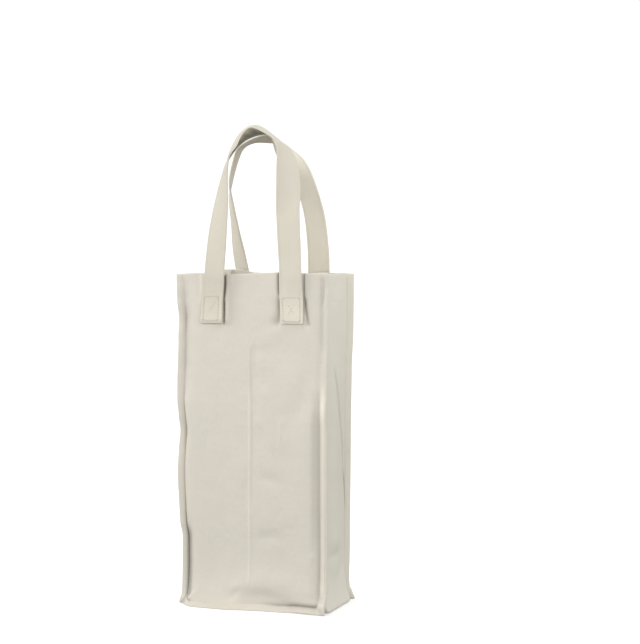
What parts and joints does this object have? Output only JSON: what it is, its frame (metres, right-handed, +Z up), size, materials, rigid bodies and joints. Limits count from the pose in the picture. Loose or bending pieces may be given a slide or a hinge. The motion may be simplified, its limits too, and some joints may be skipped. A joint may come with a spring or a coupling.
{
  "type": "bottle carrier",
  "caption": "Tall open cotton canvas bag for bottles, with raised seams, an inner divider and soft strap handles.",
  "frame": {"origin": "middle of the flat underside of the base, on the floor", "axes": "+Z up, +X to the right across the wide front, +Y from the front panel to the back panel"},
  "size_m": [0.1706, 0.1047, 0.5158],
  "materials": {
    "body_canvas": "plain-woven natural cotton canvas, matt",
    "inner_canvas": "plain-woven natural cotton canvas, matt",
    "strap_canvas": "folded self-fabric strap, matt",
    "cotton_thread": "spun cotton sewing thread"
  },
  "bodies": {
    "bag": {"front_panel": "body_canvas", "back_panel": "body_canvas", "gusset_strip": "body_canvas", "divider_panel": "inner_canvas", "front_handle_left_end": "strap_canvas", "front_handle_right_end": "strap_canvas", "back_handle_left_end": "strap_canvas", "back_handle_right_end": "strap_canvas", "front_seam_stitching": "cotton_thread", "back_seam_stitching": "cotton_thread", "divider_front_stitching": "cotton_thread", "divider_back_stitching": "cotton_thread", "divider_hem_stitching": "cotton_thread", "mouth_hem_stitching": "cotton_thread", "front_strap_box_stitching": "cotton_thread", "back_strap_box_stitching": "cotton_thread"},
    "front_handle": {"front_handle": "strap_canvas", "front_handle_edge_stitching": "cotton_thread"},
    "back_handle": {"back_handle": "strap_canvas", "back_handle_edge_stitching": "cotton_thread"}
  },
  "joints": [
    {"name": "front_handle_swing", "type": "hinge", "parent": "bag", "child": "front_handle", "pos_m": [0, -0.046, 0.332], "axis": [1, 0, 0], "range_deg": [0, 175]},
    {"name": "back_handle_swing", "type": "hinge", "parent": "bag", "child": "back_handle", "pos_m": [0, 0.0495, 0.332], "axis": [-1, 0, 0], "range_deg": [0, 175]}
  ]
}
